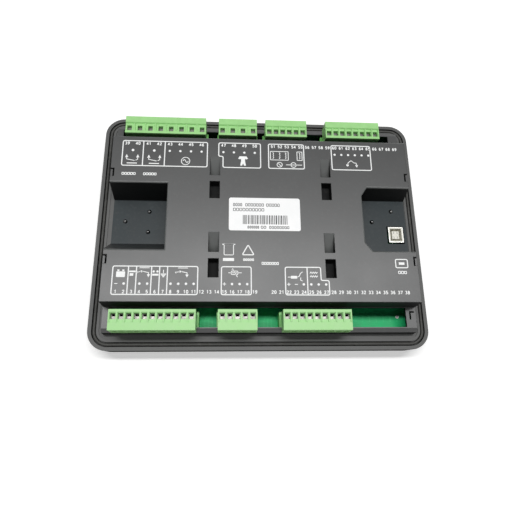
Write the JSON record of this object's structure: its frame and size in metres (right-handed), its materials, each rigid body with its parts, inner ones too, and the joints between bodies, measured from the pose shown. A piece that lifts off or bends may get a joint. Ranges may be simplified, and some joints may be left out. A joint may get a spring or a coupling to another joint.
{
  "type": "genset controller",
  "caption": "Panel-mounted generator set controller lying on its front: sealed bezel, stepped black rear case with wiring bays and rows of green pluggable terminals.",
  "frame": {"origin": "middle of the bezel's outline, in the plane of the front rim", "axes": "+X along the long side, +Y across, towards the mains terminals, +Z from the front to the rear"},
  "size_m": [0.24, 0.181, 0.0419],
  "materials": {
    "case_plastic": "fine moulded texture",
    "overlay_film": "satin film",
    "window_glass": "clear pane",
    "lcd_frame": "stamped frame",
    "gasket_rubber": "closed-cell seal",
    "board_green": "solder mask",
    "black_insulator": "moulded",
    "screw_steel": "zinc plated",
    "label_white": "printed film",
    "socket_metal": "plated sheet",
    "socket_ivory": "moulded",
    "relay_blue": "moulded",
    "capacitor_can": "sleeved can",
    "lamp_red": "clear red",
    "pin_brass": "tinned",
    "key_red": "moulded",
    "key_green": "moulded",
    "key_grey": "moulded",
    "terminal_green": "moulded",
    "cage_steel": "tin plated"
  },
  "bodies": {
    "housing": {"front_bezel": "case_plastic", "rear_case": "case_plastic", "case_flange": "case_plastic", "tie_anchors": "case_plastic", "front_overlay": "overlay_film", "display_window": "window_glass", "lcd_module": "lcd_frame", "panel_gasket": "gasket_rubber", "main_board": "board_green", "display_board": "board_green", "board_link": "black_insulator", "board_screws": "screw_steel", "rating_label": "label_white", "usb_shell": "socket_metal", "usb_insulator": "socket_ivory", "relays": "relay_blue", "capacitors": "capacitor_can", "chips": "black_insulator", "tact_switches": "black_insulator", "indicator_leds": "lamp_red", "header_pins": "pin_brass", "header_1": "terminal_green", "header_2": "terminal_green", "header_3": "terminal_green", "header_4": "terminal_green", "header_5": "terminal_green", "header_6": "terminal_green", "header_7": "terminal_green"},
    "plug_body_1": {"plug_1": "terminal_green", "cages_1": "cage_steel", "clamp_screws_1": "screw_steel"},
    "plug_body_2": {"plug_2": "terminal_green", "cages_2": "cage_steel", "clamp_screws_2": "screw_steel"},
    "plug_body_3": {"plug_3": "terminal_green", "cages_3": "cage_steel", "clamp_screws_3": "screw_steel"},
    "plug_body_4": {"plug_4": "terminal_green", "cages_4": "cage_steel", "clamp_screws_4": "screw_steel"},
    "plug_body_5": {"plug_5": "terminal_green", "cages_5": "cage_steel", "clamp_screws_5": "screw_steel"},
    "plug_body_6": {"plug_6": "terminal_green", "cages_6": "cage_steel", "clamp_screws_6": "screw_steel"},
    "plug_body_7": {"plug_7": "terminal_green", "cages_7": "cage_steel", "clamp_screws_7": "screw_steel"},
    "stop_button": {"stop_key": "key_red"},
    "manual_button": {"manual_key": "key_grey"},
    "auto_button": {"auto_key": "key_grey"},
    "mute_button": {"mute_key": "key_grey"},
    "start_button": {"start_key": "key_green"},
    "accept_button": {"accept_key": "key_grey"},
    "up_button": {"up_key": "key_grey"},
    "down_button": {"down_key": "key_grey"},
    "left_button": {"left_key": "key_grey"},
    "right_button": {"right_key": "key_grey"}
  },
  "joints": [
    {"name": "plug_1_pull", "type": "slide", "parent": "housing", "child": "plug_body_1", "axis": [0, 0, 1], "range_m": [0, 0.028]},
    {"name": "plug_2_pull", "type": "slide", "parent": "housing", "child": "plug_body_2", "axis": [0, 0, 1], "range_m": [0, 0.028]},
    {"name": "plug_3_pull", "type": "slide", "parent": "housing", "child": "plug_body_3", "axis": [0, 0, 1], "range_m": [0, 0.028]},
    {"name": "plug_4_pull", "type": "slide", "parent": "housing", "child": "plug_body_4", "axis": [0, 0, 1], "range_m": [0, 0.028]},
    {"name": "plug_5_pull", "type": "slide", "parent": "housing", "child": "plug_body_5", "axis": [0, 0, 1], "range_m": [0, 0.028]},
    {"name": "plug_6_pull", "type": "slide", "parent": "housing", "child": "plug_body_6", "axis": [0, 0, 1], "range_m": [0, 0.028]},
    {"name": "plug_7_pull", "type": "slide", "parent": "housing", "child": "plug_body_7", "axis": [0, 0, 1], "range_m": [0, 0.028]},
    {"name": "stop_press", "type": "slide", "parent": "housing", "child": "stop_button", "axis": [0, 0, 1], "range_m": [0, 0.0007], "stiffness_N_per_m": 1500},
    {"name": "manual_press", "type": "slide", "parent": "housing", "child": "manual_button", "axis": [0, 0, 1], "range_m": [0, 0.0007], "stiffness_N_per_m": 1500},
    {"name": "auto_press", "type": "slide", "parent": "housing", "child": "auto_button", "axis": [0, 0, 1], "range_m": [0, 0.0007], "stiffness_N_per_m": 1500},
    {"name": "mute_press", "type": "slide", "parent": "housing", "child": "mute_button", "axis": [0, 0, 1], "range_m": [0, 0.0007], "stiffness_N_per_m": 1500},
    {"name": "start_press", "type": "slide", "parent": "housing", "child": "start_button", "axis": [0, 0, 1], "range_m": [0, 0.0007], "stiffness_N_per_m": 1500},
    {"name": "accept_press", "type": "slide", "parent": "housing", "child": "accept_button", "axis": [0, 0, 1], "range_m": [0, 0.0007], "stiffness_N_per_m": 1500},
    {"name": "up_press", "type": "slide", "parent": "housing", "child": "up_button", "axis": [0, 0, 1], "range_m": [0, 0.0007], "stiffness_N_per_m": 1500},
    {"name": "down_press", "type": "slide", "parent": "housing", "child": "down_button", "axis": [0, 0, 1], "range_m": [0, 0.0007], "stiffness_N_per_m": 1500},
    {"name": "left_press", "type": "slide", "parent": "housing", "child": "left_button", "axis": [0, 0, 1], "range_m": [0, 0.0007], "stiffness_N_per_m": 1500},
    {"name": "right_press", "type": "slide", "parent": "housing", "child": "right_button", "axis": [0, 0, 1], "range_m": [0, 0.0007], "stiffness_N_per_m": 1500}
  ]
}
